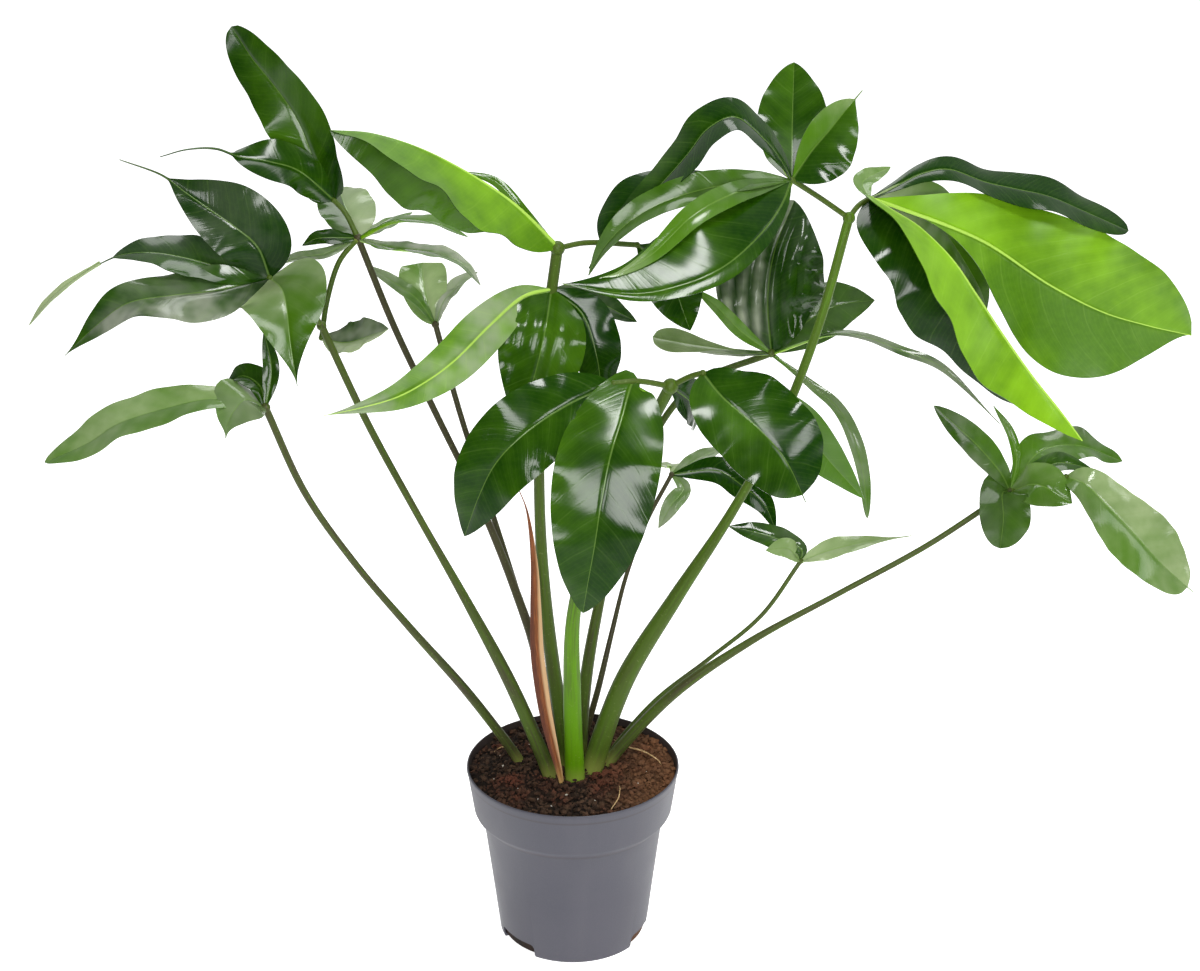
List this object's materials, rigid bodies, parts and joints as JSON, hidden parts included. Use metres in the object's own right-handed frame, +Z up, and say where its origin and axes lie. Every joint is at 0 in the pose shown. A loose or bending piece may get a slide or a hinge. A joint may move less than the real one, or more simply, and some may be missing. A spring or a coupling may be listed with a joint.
{
  "type": "potted philodendron house plant",
  "caption": "Upright aroid house plant: slender petioles carry palmate leaves of narrow glossy leaflets above bark soil in a plain round nursery pot.",
  "frame": {"origin": "centre of the pot's flat base, on the surface that the pot stands on", "axes": "+Z up along the pot's axis, -Y towards the front side that the picture shows, +X to the right of that view"},
  "size_m": [0.9686, 0.3899, 0.8094],
  "materials": {
    "pot_plastic": "satin",
    "bark_soil": "matte",
    "dried_sheath": "matte",
    "leaf": "satin"
  },
  "bodies": {
    "root": {"pot": "pot_plastic", "soil": "bark_soil", "dried_sheath": "dried_sheath", "leaf_01_low_left": "leaf", "leaf_02_mid_left": "leaf", "leaf_03_high_left": "leaf", "leaf_04_young_left": "leaf", "leaf_05_high_middle": "leaf", "leaf_06_front": "leaf", "leaf_07_high_right": "leaf", "leaf_08_small_back": "leaf", "leaf_09_far_right": "leaf", "leaf_10_small_right": "leaf", "leaf_11_back_right": "leaf"}
  },
  "joints": []
}
